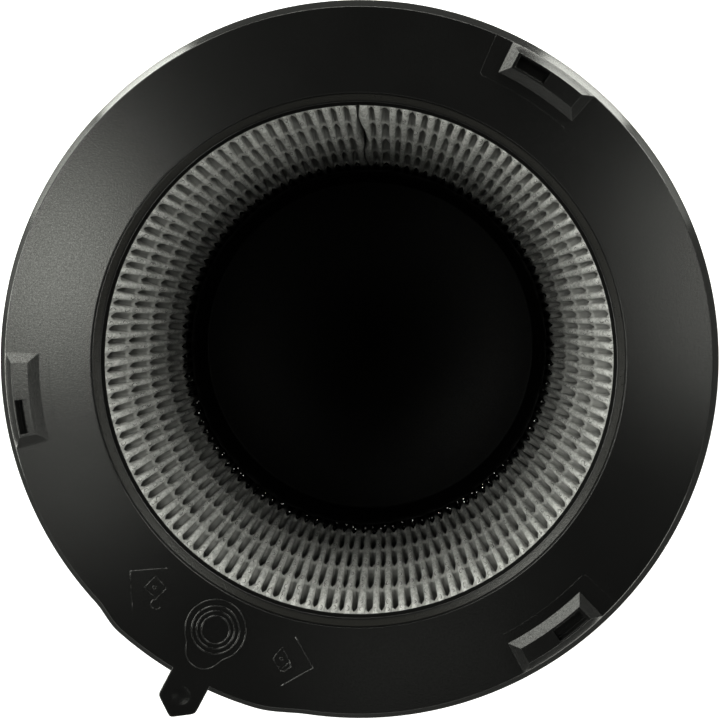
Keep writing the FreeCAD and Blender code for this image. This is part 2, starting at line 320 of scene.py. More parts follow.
def filter_paper():
    """Fibrous paper with mottled tone and dark specks; near the far end it is black with soaked-up glue,
    and above that it darkens, partly from glue and partly with painted shade.
    """
    material, tree, shader, place = new_material("filter_paper", 0.9, 0.15)
    stretch = tree.nodes.new("ShaderNodeVectorMath")
    stretch.operation = "MULTIPLY"
    stretch.inputs[1].default_value = (1.0, 1.0, 0.33)
    tree.links.new(place, stretch.inputs[0])
    drawn = stretch.outputs[0]
    mottle = noise(tree, drawn, 900.0, 3.0, 0.7)
    tone = paper_tone(tree, place, mottle)
    colour = blend_colours(tree, tone, (0.38, 0.38, 0.375), (0.72, 0.72, 0.71))
    colour = blend_colours(tree, dark_specks(tree, drawn), colour, (0.15, 0.15, 0.145))
    soak_and_shade = soak_and_shade_share(tree, place, drawn)
    set_colour(tree, shader, blend_colours(tree, soak_and_shade, colour, (0.008, 0.008, 0.008)))
    tree.links.new(remap(tree, soak_and_shade, 0.7, 1.0, 0.9, 0.35), shader.inputs["Roughness"])
    add_bump(tree, shader, mottle, 0.6, 0.0003)
    return material


def painted_shade_paper():
    """The same paper, dark: painted shadow for the dents in the tips and painted shade in the seam's crack.
    """
    material, tree, shader, place = new_material("painted_shade_paper", 0.9, 0.1)
    cloud = noise(tree, place, 700.0, 2.0)
    set_colour(tree, shader, blend_colours(tree, cloud, (0.05, 0.05, 0.048), (0.16, 0.16, 0.155)))
    return material


def pale_glue():
    """Hot-melt glue, a little smoother and whiter than the paper."""
    material, tree, shader, place = new_material("pale_glue", 0.6, 0.3)
    cloud = noise(tree, place, 400.0, 2.0)
    set_colour(tree, shader, blend_colours(tree, cloud, (0.40, 0.40, 0.395), (0.52, 0.52, 0.51)))
    add_bump(tree, shader, noise(tree, place, 1500.0, 2.0), 0.3, 0.0001)
    return material


def black_glue():
    """Potting glue: nearly black and wet-looking, with a rippled skin."""
    material, tree, shader, place = new_material("black_glue", 0.12, 0.5)
    cloud = noise(tree, place, 300.0, 2.0)
    set_colour(tree, shader, blend_colours(tree, cloud, (0.004, 0.004, 0.004), (0.012, 0.012, 0.012)))
    add_bump(tree, shader, noise(tree, place, 500.0, 2.0), 0.5, 0.0005)
    return material


# The dark paper finish is painted shade: the shadows of dents in the tips and the shade in the seam's
# crack.
paper, painted_shade = filter_paper(), painted_shade_paper()
glue, potting = pale_glue(), black_glue()
print("finishes:", paper.name, painted_shade.name, glue.name, potting.name)

# %% [markdown]
# ## The moulded ring
# On the real filter this is one injection moulding: a flat textured face, a small step and a sloping
# lip down to the bore, a sloping rim, a skirt, and three blocks that the machine's hooks turn under.
# It could be turned from a profile and the blocks added with booleans, but booleans leave ragged
# shading. Instead the ring is one closed grid: a section of radius and height pairs, repeated at
# every angle. Grid lines are placed exactly on the edges of the blocks and slots, so raising some
# points makes a block, and leaving out some faces makes a slot.

# %% Angles that the ring's grid must have
block_angles = (56.2, 186.6, 305.7)
half_span = 7.9
end_slope = 1.65
slot_from, slot_to = 0.0, 5.75
undercut_from = slot_from - 4.6
bulge_from, bulge_to = 228.5, 253.0
bulge_in, bulge_out = 6.0, 9.0
bulge_height = 1.8


def ring_angles():
    """Grid angles: every edge of a block or slot, with even steps between them."""
    edges = []
    for middle in block_angles:
        edges += [middle + turn for turn in (-half_span, -half_span + end_slope, undercut_from, slot_from,
                                             slot_to, half_span - end_slope, half_span)]
    edges = sorted(edge % 360.0 for edge in edges)
    angles = []
    for start, end in zip(edges, edges[1:] + [edges[0] + 360.0]):
        steps = 1 if abs(end - start - end_slope) < 0.01 else max(1, round((end - start) / 0.75))
        angles += [start + (end - start) * step / steps for step in range(steps)]
    return np.array(angles)


def smooth_step(value):
    """Eases a value from 0 to 1."""
    value = np.clip(value, 0.0, 1.0)
    return (1.0 - np.cos(np.pi * value)) / 2.0


def bulge(angle):
    """How far the rim stands out near the pull tab, in millimetres."""
    climb = smooth_step((angle - bulge_from + bulge_in) / bulge_in)
    fall = smooth_step((bulge_to + bulge_out - angle) / bulge_out)
    return bulge_height * np.minimum(climb, fall)


angles = ring_angles()
print("angles round the ring:", len(angles))

# %% Section of the ring
lip_radius = 87.9
lip_slope_end = 90.15
face_inner = 90.8
block_inner, top_inner, slot_inner = 108.2, 110.6, 111.3
slot_outer, top_outer, block_outer = 115.7, 116.2, 119.5
plate_under = face - 2.5
seat_inner, seat_outer = 115.6, 117.2

# Each point: radius, height, share of the bulge that it takes
lip_points = [
    (lip_radius, plate_under, 0), (lip_radius, face - 2.3, 0), (88.0, face - 2.05, 0),
    (88.25, face - 1.9, 0), (lip_slope_end, face - 0.62, 0), (90.22, face - 0.78, 0),
    (90.6, face - 0.78, 0), (90.62, face - 0.14, 0), (face_inner, face, 0),
]
face_points = [(radius, face, 0) for radius in (
    94.0, 98.0, 102.0, 105.0, block_inner, top_inner, slot_inner, slot_outer, top_outer)]
face_points.append((block_outer, face, 1.0))
rim_points = [
    (119.8, face - 0.15, 1), (120.05, face - 0.5, 1), (122.4, face - 4.1, 1),
    (124.7, face - 7.4, 1), (124.93, face - 7.8, 1), (rim_radius, face - 8.3, 1), (124.95, face - 9.0, 1),
    (124.55, skirt_low + 0.4, 1), (124.35, skirt_low + 0.1, 1), (124.1, skirt_low, 1),
    (122.9, skirt_low, 1), (122.55, skirt_low + 0.3, 1), (123.0, face - 8.0, 1), (119.2, plate_under, 0.5),
]
under_points = [
    (seat_outer, plate_under, 0), (seat_outer, face - 11.8, 0), (seat_outer - 0.3, face - 12.0, 0),
    (seat_inner + 0.3, face - 12.0, 0), (seat_inner, face - 11.8, 0), (seat_inner, plate_under, 0),
    (101.0, plate_under, 0),
]
section = np.array(lip_points + face_points + rim_points + under_points)
first_face = len(lip_points) - 1
column_of = {radius: index for index, (radius, _, _) in enumerate(section[:first_face + 11])}
print("points in the section:", len(section))

# %% Blocks and slots on the ring's grid


def block_rise(radius, angle):
    """Height of the nearest block above the face at a grid point."""
    rise = 0.0
    for middle in block_angles:
        turn = abs((angle - middle + 180.0) % 360.0 - 180.0)
        along = (half_span - turn) / end_slope
        inward = (radius - block_inner) / (top_inner - block_inner)
        outward = (block_outer - radius) / (block_outer - top_outer)
        rise = max(rise, min(1.0, along, inward, outward))
    return block_height * rise


def ring_points():
    """The section at every angle, with the blocks raised and the rim moved out beside the tab."""
    grid_angle, index = np.meshgrid(angles, np.arange(len(section)), indexing="ij")
    radius, height, share = section[index, 0], section[index, 1].copy(), section[index, 2]
    for column in range(column_of[block_inner], column_of[block_outer] + 1):
        for row, angle in enumerate(angles):
            height[row, column] += block_rise(section[column, 0], angle)
    return polar(radius + share * bulge(grid_angle), grid_angle, height)


def inside(angle, start, end):
    """True if an angle lies between two others."""
    return (angle - start) % 360.0 < (end - start) % 360.0 - 1e-6


def ring_faces():
    """Quads of the ring, without those over a slot, and with the corners of the blocks cut right."""
    rows, columns = len(angles), len(section)
    quads = grid_faces(rows, columns, True, True)
    corner_columns = (column_of[block_inner], column_of[top_outer])
    faces = []
    for number, quad in enumerate(quads):
        row, column = divmod(number, columns)
        angle = angles[row] + 1e-4
        slot_here = column == column_of[slot_inner] and any(
            inside(angle, middle + slot_from, middle + slot_to) for middle in block_angles)
        if slot_here:
            continue
        first_end = any(inside(angle, middle - half_span, middle - half_span + end_slope)
                        for middle in block_angles)
        last_end = any(inside(angle, middle + half_span - end_slope, middle + half_span)
                       for middle in block_angles)
        if column in corner_columns and (first_end or last_end):
            a, b, c, d = quad
            inner_corner = column == corner_columns[0]
            if inner_corner == first_end:
                faces += [(a, b, c), (a, c, d)]
            else:
                faces += [(a, b, d), (b, c, d)]
        else:
            faces.append(quad)
    return faces


# %% Walls and floor of each slot
slot_floor = face + block_height - 3.0
undercut_top = slot_floor + 1.9


def slot_strip(turns, radii, heights):
    """Points of a small grid: angles one way, pairs of radius and height the other."""
    turns = np.asarray(turns)[:, None]
    return polar(np.asarray(radii)[None, :], turns, np.asarray(heights)[None, :])


def slot_pieces(middle):
    """Grids that line one slot and the pocket that runs on under its block."""
    turns = [(angle - middle + 180.0) % 360.0 - 180.0 for angle in angles]
    turns = sorted(turn for turn in turns if undercut_from - 1e-6 < turn < slot_to + 1e-6)
    pocket = [middle + turn for turn in turns if turn < slot_from + 1e-6]
    slot = [middle + turn for turn in turns if turn > slot_from - 1e-6]
    top = frame_top
    trough = (slot_inner, slot_inner, slot_outer, slot_outer)
    trough_heights = (undercut_top, slot_floor, slot_floor, undercut_top)
    lined = [
        (slot, trough, trough_heights),
        (slot, (slot_inner, slot_inner), (top, undercut_top)),
        (slot, (slot_outer, slot_outer), (undercut_top, top)),
        (pocket, trough + trough[:1], trough_heights + trough_heights[:1]),
    ]
    grids = [slot_strip(*grid) for grid in lined]
    for turn, low, high in ((slot[0], undercut_top, top), (slot[-1], undercut_top, top),
                            (slot[-1], slot_floor, undercut_top), (pocket[0], slot_floor, undercut_top)):
        end = polar(np.array([[slot_inner, slot_outer], [slot_inner, slot_outer]]), turn,
                    np.array([[low, low], [high, high]]))
        grids.append(end)
    return grids


def join_grids(points, faces, grids):
    """Adds open grids to a list of points and faces."""
    points = [np.asarray(points).reshape(-1, 3)]
    faces = list(faces)
    count = len(points[0])
    for grid in grids:
        rows, columns = grid.shape[:2]
        faces += list(grid_faces(rows, columns, first=count))
        points.append(grid.reshape(-1, 3))
        count += rows * columns
    return np.concatenate(points), faces


# %% [markdown]
# ## Ribs, tab and bevels
# Under the plate short ribs tie the inner wall to the skirt; they only show from below. The pull tab
# is a flat plate with a blunt point and a dimple for the finger. It is modelled round the dimple:
# rays from the dimple's centre meet the sides of the tab, softened so that the corners are round.
# Last, a narrow bevel goes on every sharp edge, because the thin light lines along the blocks in
# real life are reflections in rounded edges.

# %% Ribs below the plate
rib_count = 18
rib_half = 0.7


def rib_solid(angle):
    """Closed points and faces of one rib."""
    outline = [(seat_outer - 0.3, face - 10.0), (122.9, face - 10.0), (122.9, face - 8.0),
               (119.4, plate_under + 0.2), (seat_outer - 0.3, plate_under + 0.2)]
    turn = math.radians(angle)
    along = np.array([math.cos(turn), math.sin(turn), 0.0])
    across = np.array([-math.sin(turn), math.cos(turn), 0.0])
    sides = [[along * radius + across * offset + np.array([0, 0, height]) for radius, height in outline]
             for offset in (-rib_half, rib_half)]
    count = len(outline)
    faces = [tuple(range(count))[::-1], tuple(range(count, 2 * count))]
    faces += [(i, (i + 1) % count, count + (i + 1) % count, count + i) for i in range(count)]
    return np.array(sides[0] + sides[1]), faces


# %% Pull tab
tab_angle = 242.1
tab_half_width = 7.1
tab_shoulder, tab_point, tab_root = 131.8, 136.8, 118.6
tab_thickness = 3.0
dimple_at, dimple_radius, dimple_depth = 128.2, 3.3, 0.4
corner_softness = 16.0


def tab_outline(rays):
    """Distance from the dimple's centre to the edge of the tab along each ray."""
    slant = np.array([tab_half_width, tab_point - tab_shoulder])
    slant = slant / np.linalg.norm(slant)
    point_gap = slant[0] * (tab_point - dimple_at)
    sides = [((0, 1), tab_half_width), ((0, -1), tab_half_width), ((-1, 0), dimple_at - tab_root),
             ((slant[0], slant[1]), point_gap), ((slant[0], -slant[1]), point_gap)]
    inverse = np.zeros_like(rays)
    for (along, across), gap in sides:
        facing = along * np.cos(rays) + across * np.sin(rays)
        inverse += (np.maximum(facing, 0.0) / gap) ** corner_softness
    return inverse ** (-1.0 / corner_softness)


def tab_solid():
    """Rings of points from the middle of the dimple, over the top and round to the underside."""
    rays = np.linspace(0.0, 2.0 * math.pi, 96, endpoint=False)
    edge = tab_outline(rays)
    rings = []
    for share in (0.02, 0.3, 0.55, 0.75, 0.9, 1.0, 1.12):
        depth = dimple_depth * max(0.0, 1.0 - share ** 2)
        rings.append((np.full_like(edge, dimple_radius * share), -0.01 - depth))
    for inset, drop in ((1.2, 0.01), (0.35, 0.02), (0.1, 0.12), (0.0, 0.35)):
        rings.append((edge - inset, -drop))
    for inset, drop in ((0.0, tab_thickness - 0.3), (0.25, tab_thickness), (4.0, tab_thickness)):
        rings.append((np.maximum(edge - inset, 0.5), -drop))
    turn = math.radians(tab_angle)
    out = np.array([math.cos(turn), math.sin(turn)])
    side = np.array([-math.sin(turn), math.cos(turn)])
    points = []
    for distance, drop in rings:
        along = dimple_at + distance * np.cos(rays)
        across = distance * np.sin(rays)
        flat = along[:, None] * out + across[:, None] * side
        points.append(np.column_stack([flat, np.full(len(rays), face + drop)]))
    faces = list(grid_faces(len(rings), len(rays), False, True))
    faces.append(tuple(range(len(rays)))[::-1])
    last = (len(rings) - 1) * len(rays)
    faces.append(tuple(range(last, last + len(rays))))
    return np.concatenate(points), faces


# %% Put the ring together


def add_solid(points, faces, solid):
    """Adds a closed solid to the lists of points and faces."""
    more_points, more_faces = solid
    count = len(points)
    more_faces = [tuple(count + corner for corner in corners) for corners in more_faces]
    return np.concatenate([points, more_points]), faces + more_faces


grids = [grid for middle in block_angles for grid in slot_pieces(middle)]
points, faces = join_grids(ring_points(), ring_faces(), grids)
ring_mesh = make_piece("moulded_ring", points, faces, ring_plastic)
point_outwards(ring_mesh)
soften = ring_mesh.modifiers.new("soft_edges", "BEVEL")
soften.width = 0.22 * MM
soften.segments = 2
soften.limit_method = "ANGLE"
soften.angle_limit = math.radians(24.0)
soften.harden_normals = True
settle(ring_mesh, "top_frame")

points, faces = tab_solid()
tab_mesh = make_piece("pull_tab", points, faces, ring_plastic)
point_outwards(tab_mesh)
settle(tab_mesh, "top_frame")

points, faces = np.zeros((0, 3)), []
for number in range(rib_count):
    points, faces = add_solid(points, faces, rib_solid(360.0 * number / rib_count))
ribs_mesh = make_piece("plate_ribs", points, faces, ring_plastic, smooth=False)
point_outwards(ribs_mesh)
settle(ribs_mesh, "top_frame")

# %% [markdown]
# ## Moulded marks on the face
# Beside the tab the mould has left thin raised lines: three rings inside one outline, a corner arrow
# each way, and an open and a shut padlock that say which way to turn. Round each lock block there is
# a faint line where a mould insert meets the rest. They are drawn as thin round ridges sunk half
# into the face, swept along short lists of corner points. Their places are given as the photo
# shows them, in picture points, and turned into millimetres on the face.

# %% From picture points to the face
axis_in_photo = (358.8, 360.3)
face_scale = 0.33808            # millimetres on the face for one picture point


def on_face(x, y):
    """Place on the face, in millimetres, of a picture point."""
    return np.array([(x - axis_in_photo[0]) * face_scale, (axis_in_photo[1] - y) * face_scale])


def ridge(path, half_width, closed=False, sides=8):
    """Thin round ridge along a path on the face, as points and faces."""
    path = np.asarray(path, dtype=float)
    if closed:
        ahead, behind = np.roll(path, -1, axis=0), np.roll(path, 1, axis=0)
    else:
        ahead = np.vstack([path[1:], path[-1:]])
        behind = np.vstack([path[:1], path[:-1]])
    along = ahead - behind
    along /= np.linalg.norm(along, axis=1)[:, None]
    across = np.column_stack([-along[:, 1], along[:, 0]])
    turns = np.linspace(0.0, 2.0 * math.pi, sides, endpoint=False)
    points = np.zeros((len(path), sides, 3))
    points[:, :, :2] = path[:, None, :] + across[:, None, :] * (half_width * np.cos(turns))[None, :, None]
    points[:, :, 2] = face + half_width * 0.8 * np.sin(turns)[None, :]
    faces = list(grid_faces(len(path), sides, closed, True))
    if not closed:
        last = (len(path) - 1) * sides
        faces += [tuple(range(sides))[::-1], tuple(range(last, last + sides))]
    return points.reshape(-1, 3), faces


def circle_path(centre, radius, start=0.0, end=360.0, steps=64):
    """Points of a circle, or of an arc when the ends are given."""
    turns = np.radians(np.linspace(start, end, steps, endpoint=(end - start) % 360.0 != 0.0))
    return centre + radius * np.column_stack([np.cos(turns), np.sin(turns)])


def fine_line(corners, steps=6):
    """The straight lines between corners, with points along them."""
    corners = np.asarray(corners, dtype=float)
    path = [corners[0]]
    for start, end in zip(corners[:-1], corners[1:]):
        path += [start + (end - start) * step / steps for step in range(1, steps + 1)]
    return np.array(path)


def marks_piece(name, ridges):
    """One piece from several ridges."""
    points, faces = np.zeros((0, 3)), []
    for solid in ridges:
        points, faces = add_solid(points, faces, solid)
    piece = make_piece(name, points, faces, mark_plastic)
    return settle(piece, None)


# %% Rings and their outline
rings_at = on_face(215.5, 630.0)
ring_radii = (4.75, 6.4, 8.1)
outline_radius = 10.3
lobe_at = on_face(204.0, 651.0)
lobe_radius = 6.1


def outline_path():
    """Outer edge of a large and a small circle joined together."""
    turns = np.radians(np.arange(0.0, 360.0, 4.0))
    rays = np.column_stack([np.cos(turns), np.sin(turns)])
    offset = lobe_at - rings_at
    ahead = rays @ offset
    inside_lobe = lobe_radius ** 2 - (offset @ offset - ahead ** 2)
    lobe_reach = np.where(inside_lobe > 0.0, ahead + np.sqrt(np.maximum(inside_lobe, 0.0)), 0.0)
    reach_out = (outline_radius ** 12 + np.maximum(lobe_reach, 0.0) ** 12) ** (1.0 / 12.0)
    return rings_at + rays * reach_out[:, None]


marks_piece("moulded_rings", [ridge(circle_path(rings_at, radius), 0.3, True) for radius in ring_radii]
            + [ridge(outline_path(), 0.22, True)])

# %% Corner arrows
arrow_left = [on_face(167.3, 568.3), on_face(130.4, 571.2), on_face(132.3, 608.0)]
arrow_right = [on_face(295.6, 636.9), on_face(313.1, 668.0), on_face(280.2, 686.6)]
marks_piece("arrow_marks", [ridge(fine_line(arrow_left), 0.24), ridge(fine_line(arrow_right), 0.24)])

# %% Padlocks
open_body = [(155.8, 576.4), (166.8, 588.2), (156.4, 598.9), (144.4, 587.6)]
open_shackle = [(156.4, 598.9), (152.6, 600.6), (150.6, 604.2), (152.2, 608.2), (156.4, 609.6),
                (160.2, 607.6)]
shut_body = [(282.2, 647.6), (273.0, 658.6), (280.0, 670.6), (289.6, 661.4)]
shut_shackle = [(280.0, 670.6), (284.6, 672.0), (291.0, 666.6), (289.6, 661.4)]


def padlock(body, shackle, keyhole):
    """Plain padlock: a lozenge for the body, a small ring for the keyhole, and the shackle."""
    return [ridge([on_face(x, y) for x, y in body], 0.22, True),
            ridge(circle_path(on_face(*keyhole), 0.55, steps=20), 0.18, True),
            ridge([on_face(x, y) for x, y in shackle], 0.22)]


marks_piece("padlock_marks", padlock(open_body, open_shackle, (154.6, 587.6))
            + padlock(shut_body, shut_shackle, (281.4, 659.0)))

# %% Lines left by the mould inserts at the blocks
insert_end, insert_inner, insert_corner = 10.9, 104.8, 1.6


def insert_line(middle):
    """Line from the rim inwards beside a block, round a corner and along behind it."""
    corner_turn = math.degrees(insert_corner / insert_inner)
    path = [polar(radius, middle + insert_end, 0.0)[:2]
            for radius in np.linspace(119.3, insert_inner + insert_corner, 10)]
    for step in np.linspace(0.2, 0.8, 4):
        bend = step * math.pi / 2.0
        radius = insert_inner + insert_corner * (1.0 - math.sin(bend))
        path.append(polar(radius, middle + insert_end - corner_turn * (1.0 - math.cos(bend)), 0.0)[:2])
    for turn in np.linspace(insert_end - corner_turn, -half_span, 24):
        path.append(polar(insert_inner, middle + turn, 0.0)[:2])
    return ridge(path, 0.06, sides=6)


marks_piece("insert_lines", [insert_line(middle) for middle in block_angles])

# %% [markdown]
# ## The folded paper
# The paper is one sheet folded to and fro and bent round: flat tips towards the bore, folds towards
# the outside and nearly straight walls between. A cloth simulation can't fold this tightly, so the
# sheet is drawn fold by fold as a cross-section and then drawn out along the height. No two folds
# are alike on a real pack, so each tip gets its own width and place, and wanders a little between
# the glue rows. A seeded random generator keeps the result the same at every run.

# %% How the folds wander
pleat_count = 117
pitch = 360.0 / pleat_count
seam_angle = 90.3
tip_width, fold_width = 2.3, 2.9
sheet = 0.6
row_heights = [sum(reach("bore_beads_%d" % (row + 2))[1:]) / 2.0 - 0.5 for row in range(4)]
random = np.random.default_rng(7)
width_change = random.normal(0.0, 0.22, pleat_count)
place_change = random.normal(0.0, 0.16, pleat_count)
place_change[[0, -1]] = 0.0
width_change[-1], place_change[-2] = -0.6, 0.5
waves = random.uniform(0.0, 2.0 * math.pi, (pleat_count, 4))
lean = random.normal(0.0, 0.12, pleat_count)


def tip_middle(number, height):
    """Angle of the middle of a tip at a height."""
    travel = (height - pack_low) / (pack_high - pack_low)
    wander = 0.10 * np.sin(2.0 * math.pi * height / 50.8 + waves[number, 0]) + lean[number] * (travel - 0.5)
    return seam_angle + (number + 0.5) * pitch + np.degrees((place_change[number] + wander) / tip_radius)


def tip_half(number, height):
    """Half the width of a tip at a height, in degrees."""
    swell = 0.10 * np.sin(2.0 * math.pi * height / 25.4 + waves[number, 1]) + 0.06 * np.sin(
        2.0 * math.pi * height / 11.0 + waves[number, 2])
    width = np.clip(tip_width + width_change[number] + swell, 1.5, 3.1)
    return np.degrees(width / 2.0 / tip_radius)


# %% The seam
# The two ends of the sheet have come apart at the bore: shut at the top, gaping lower down, and
# closing again towards the far end. The gap is measured in degrees at the bore.
seam_depths = [0.0, 9.0, 17.0, 21.8, 24.8, 35.8, 47.6, 59.7, 70.3, 78.0, 97.8, 112.0, 150.0]
seam_gaps = [0.9, 0.8, 0.6, 0.3, 0.6, 1.5, 2.5, 2.1, 1.0, 0.5, 0.4, 0.3, 0.3]
seam_shifts = [0.25, 0.3, 0.35, 0.41, 0.49, 0.56, 0.2, -0.33, -0.56, 0.23, 0.5, -0.3, -0.3]
jag_depths = np.arange(0.0, 151.0, 6.0)
seam_jags = np.random.default_rng(5).normal(0.0, 0.13, len(jag_depths))


def seam_gap(height):
    """Width of the crack at a height, in degrees."""
    return np.interp(face - height, seam_depths, seam_gaps)


def seam_middle(height):
    """Angle of the middle of the crack at a height."""
    along = face - height
    shift = np.interp(along, seam_depths, seam_shifts)
    return seam_angle + shift + np.interp(along, jag_depths, seam_jags)


# %% Edges of the channels between the tips


def tip_edges(number, height):
    """Angles of the two edges of a tip. Beside the seam they follow its crack."""
    middle = tip_middle(number, height)
    half = tip_half(number, height)
    first, last = middle - half, middle + half
    if number == 0:
        first = seam_middle(height) + seam_gap(height) / 2.0
    if number == pleat_count - 1:
        last = seam_middle(height) + 360.0 - seam_gap(height) / 2.0
    return first, last


fold_inside = math.degrees((fold_width / 2.0 - sheet) / (pack_radius - sheet))
fold_half = math.degrees(fold_width / 2.0 / pack_radius)


def wall_angle(tip_edge, fold_edge, radius):
    """Angle of a straight wall where it passes a radius."""
    deep = pack_radius - sheet
    share = (radius - tip_radius) / (deep - tip_radius)
    return tip_edge + (fold_edge - tip_edge) * share * deep / radius


# %% Cross-section of the sheet at one height
tip_shape = [(-1.0, 1.05), (-0.9, 0.52), (-0.62, 0.17), (-0.3, 0.03), (0.0, 0.0),
             (0.3, 0.03), (0.62, 0.17), (0.9, 0.52), (1.0, 1.05)]
wall_radii = (94.0, 104.0)


def bore_skin(number, height):
    """Angle and radius pairs of the side that faces the bore, for one fold."""
    first, last = tip_edges(number, height)
    before = seam_angle + number * pitch
    after = before + pitch
    fold_radius = pack_radius - sheet
    pairs = [(before + fold_inside * 0.4, fold_radius), (before + fold_inside, fold_radius - 0.4)]
    pairs += [(wall_angle(first, before + fold_inside, radius), radius) for radius in wall_radii[::-1]]
    middle, half = (first + last) / 2.0, (last - first) / 2.0
    pairs += [(middle + half * across, tip_radius + set_back) for across, set_back in tip_shape]
    pairs += [(wall_angle(last, after - fold_inside, radius), radius) for radius in wall_radii]
    pairs += [(after - fold_inside, fold_radius - 0.4), (after - fold_inside * 0.4, fold_radius)]
    return pairs


def outer_skin(number, height):
    """The same for the side that faces out."""
    first, last = tip_edges(number, height)
    before = seam_angle + number * pitch
    after = before + pitch
    thick = math.degrees(sheet / tip_radius)
    inner = tip_radius + sheet
    first, last = first + thick, last - thick
    pairs = [(before, pack_radius), (before + fold_half * 0.7, pack_radius - 0.08),
             (before + fold_half * 0.96, pack_radius - 0.45), (before + fold_half, pack_radius - 1.2)]
    pairs += [(wall_angle(first, before + fold_half, radius), radius) for radius in wall_radii[::-1]]
    pairs += [(first, inner + 0.3), (first + thick * 0.6, inner)]
    pairs += [(last - thick * 0.6, inner), (last, inner + 0.3)]
    pairs += [(wall_angle(last, after - fold_half, radius), radius) for radius in wall_radii]
    pairs += [(after - fold_half, pack_radius - 1.2), (after - fold_half * 0.96, pack_radius - 0.45),
              (after - fold_half * 0.7, pack_radius - 0.08)]
    return pairs


# %% Draw the sheet out along its height


def sheet_levels():
    """Heights of the rows of points, in even steps."""
    steps = 24
    return np.array([pack_low + (pack_high - pack_low) * step / steps for step in range(steps + 1)])


def skin_points(skin, levels):
    """Rows of points of one skin, all round, at each level."""
    grid = []
    for height in levels:
        pairs = np.array([pair for number in range(pleat_count) for pair in skin(number, height)])
        grid.append(polar(pairs[:, 1], pairs[:, 0], height))
    return np.array(grid)


levels = sheet_levels()
bore_grid = skin_points(bore_skin, levels)
outer_grid = skin_points(outer_skin, levels)
sheet_section = np.concatenate([bore_grid, outer_grid[:, ::-1]], axis=1)
rows, columns = sheet_section.shape[:2]
faces = list(grid_faces(rows, columns, False, True))


def end_faces(row):
    """Strip that closes the edge of the sheet between its two skins."""
    bore_count, outer_count = bore_grid.shape[1], outer_grid.shape[1]
    per_bore, per_outer = bore_count // pleat_count, outer_count // pleat_count
    strip = []
    start = row * columns
    for number in range(pleat_count):
        bore_side = [start + number * per_bore + i for i in range(per_bore)]
        outer_side = [start + columns - 1 - number * per_outer - i for i in range(per_outer)]
        middle_bore, middle_outer = per_bore // 2, per_outer // 2
        strip.append(bore_side[:middle_bore + 1] + outer_side[:middle_outer + 1][::-1])
        strip.append(bore_side[middle_bore:] + outer_side[middle_outer:][::-1])
        if number + 1 < pleat_count:
            next_bore = start + (number + 1) * per_bore
            next_outer = start + columns - 1 - (number + 1) * per_outer
            strip.append([bore_side[-1], next_bore, next_outer, outer_side[-1]])
    return strip


faces += [tuple(corners) for row in (0, rows - 1) for corners in end_faces(row)]
paper_pack = make_piece("folded_paper", sheet_section, faces, paper)
point_outwards(paper_pack)
settle(paper_pack, "pleat_pack")

# %% [markdown]
# ## Glue beads
# Dots of hot glue bridge each channel near the tips. Seen down the bore, a bead's lower edge is a
# small pointed arch and its upper side is a ledge that catches the light at the foot of each gap.
# One bead is a loop of section points repeated across the channel, wider than the channel by a
# hair so that it bites into both walls. Every bead has its own height and reach.

# %% One bead between two walls
across_steps = np.linspace(-1.0, 1.0, 7)
bead_loop_size = 9
bead_bite = 1.13                # how much wider than its channel a bead is


def channel_walls(number, height):
    """Two functions that give the angles of the walls of a channel open to the bore, at a radius."""
    fold = seam_angle + (number + 1) * pitch
    near_edge = tip_edges(number, height)[1]
    far_edge = tip_edges(number + 1, height)[0]
    return (lambda radius: wall_angle(near_edge, fold - fold_inside, radius),
            lambda radius: wall_angle(far_edge, fold + fold_inside, radius))


def outer_walls(number, height):
    """The same for a channel that is open to the outside."""
    start = seam_angle + number * pitch
    first, last = tip_edges(number, height)
    thick = math.degrees(sheet / tip_radius)

    def wall(tip_edge, fold_edge):
        """One wall; it runs straight up to the bend of the fold and no further."""
        return lambda radius: wall_angle(tip_edge, fold_edge, np.minimum(radius, pack_radius - sheet))

    return wall(first + thick, start + fold_half), wall(last - thick, start + pitch - fold_half)


def bead_points(left, right, height, below, above, deep, inner, outward, climb=1.0):
    """Closed loops across a channel, from wall to wall.

    The bead reaches furthest down and up along the walls and is thin in the middle, so the gaps end
    in points. Outward is 1 for a channel open to the bore and -1 for one open to the outside.
    """
    edge = np.abs(across_steps)
    hollow = 1.0 - across_steps ** 2
    profile = [
        (0.75 + 0.4 * hollow, -0.45 - below * edge),
        (0.7 + 0.5 * hollow, 0.0 * edge),
        (0.85 + 0.5 * hollow, 0.45 + above * edge),
        (1.8 + 0.3 * hollow, 0.5 + 0.8 * above * edge),
        (deep * 0.5 + 0.0 * edge, 1.0 * climb + 0.4 * above * edge),
        (deep + 0.0 * edge, 3.4 * climb + 0.2 * above * edge),
        (deep + 0.0 * edge, 1.8 * climb + 0.0 * edge),
        (deep * 0.5 + 0.0 * edge, -0.4 - 0.3 * below * edge),
        (1.8 + 0.2 * hollow, -0.45 - 0.7 * below * edge),
    ]
    loops = []
    for set_back, rise in profile:
        radius = inner + outward * set_back
        low_angle, high_angle = left(radius), right(radius)
        middle, spread = (low_angle + high_angle) / 2.0, (high_angle - low_angle) / 2.0
        loops.append(polar(radius, middle + spread * across_steps * bead_bite, height + rise))
    return np.array(loops).transpose(1, 0, 2)


def bead_faces(first):
    """Faces of one bead whose points start at a number."""
    loops, around = len(across_steps), bead_loop_size
    faces = list(grid_faces(loops, around, False, True, first))
    faces.append(tuple(first + i for i in range(around))[::-1])
    faces.append(tuple(first + (loops - 1) * around + i for i in range(around)))
    return faces


